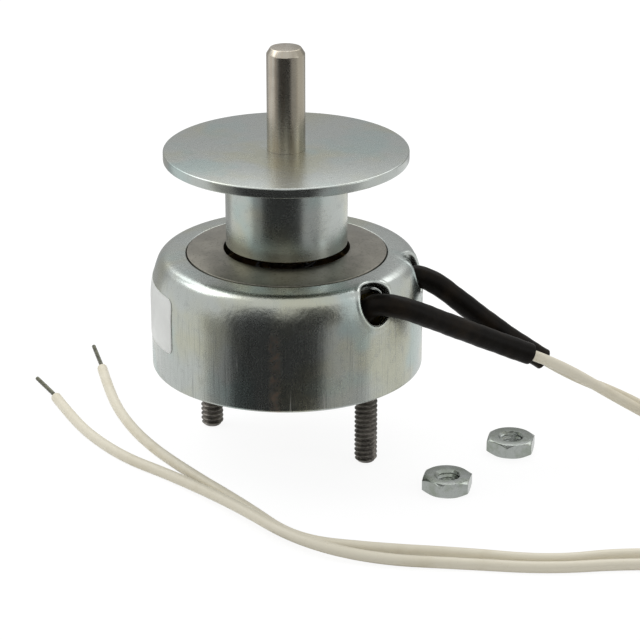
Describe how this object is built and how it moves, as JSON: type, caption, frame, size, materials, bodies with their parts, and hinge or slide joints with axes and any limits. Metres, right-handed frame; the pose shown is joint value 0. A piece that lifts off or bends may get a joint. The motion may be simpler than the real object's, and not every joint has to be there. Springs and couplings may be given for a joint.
{
  "type": "pull solenoid",
  "caption": "Round pull solenoid: drawn steel case with coil, spring-returned plunger carrying a flat disc and a shaft, threaded mounting studs and flying leads.",
  "frame": {"origin": "centre of the mounting face (the underside of the case and base plate), on the shaft's axis", "axes": "+Z along the shaft, the way it comes out; -Y towards the viewer of the picture; +X to the right, the side on which the leads come out"},
  "size_m": [0.1774, 0.1126, 0.0879],
  "materials": {
    "zinc_plate": "bright zinc plate",
    "bare_steel": "bare ground steel",
    "stainless": "fine turned",
    "dark_steel": "dull threaded",
    "spring_steel": "satin",
    "bearing_bronze": "satin",
    "guide_brass": "satin",
    "copper_wire": "enamelled copper",
    "nylon": "matte",
    "black_nylon": "matte",
    "coil_tape": "satin",
    "lead_insulation": "satin",
    "black_sleeve": "satin",
    "tinned_wire": "dull tinned"
  },
  "bodies": {
    "housing": {"case": "zinc_plate", "base_plate": "zinc_plate", "mounting_studs": "dark_steel", "mounting_nuts": "zinc_plate", "pole_ring": "bare_steel", "shaft_bearing": "bearing_bronze", "air_gap_washer": "guide_brass", "return_spring": "spring_steel", "guide_sleeve": "guide_brass", "coil_bobbin": "black_nylon", "coil_winding": "copper_wire", "coil_tape": "coil_tape", "lead_a": "lead_insulation", "lead_b": "lead_insulation", "conductor_a": "tinned_wire", "conductor_b": "tinned_wire", "insulating_sleeve_a": "black_sleeve", "insulating_sleeve_b": "black_sleeve"},
    "armature": {"plunger": "zinc_plate", "armature_disc": "zinc_plate", "shaft": "stainless", "retaining_ring": "spring_steel", "stop_washer": "nylon"}
  },
  "joints": [
    {"name": "plunger_slide", "type": "slide", "parent": "housing", "child": "armature", "axis": [0, 0, 1], "range_m": [-0.0192, 0], "stiffness_N_per_m": 280, "springref_m": 0.01, "deforming": ["return_spring"]}
  ]
}
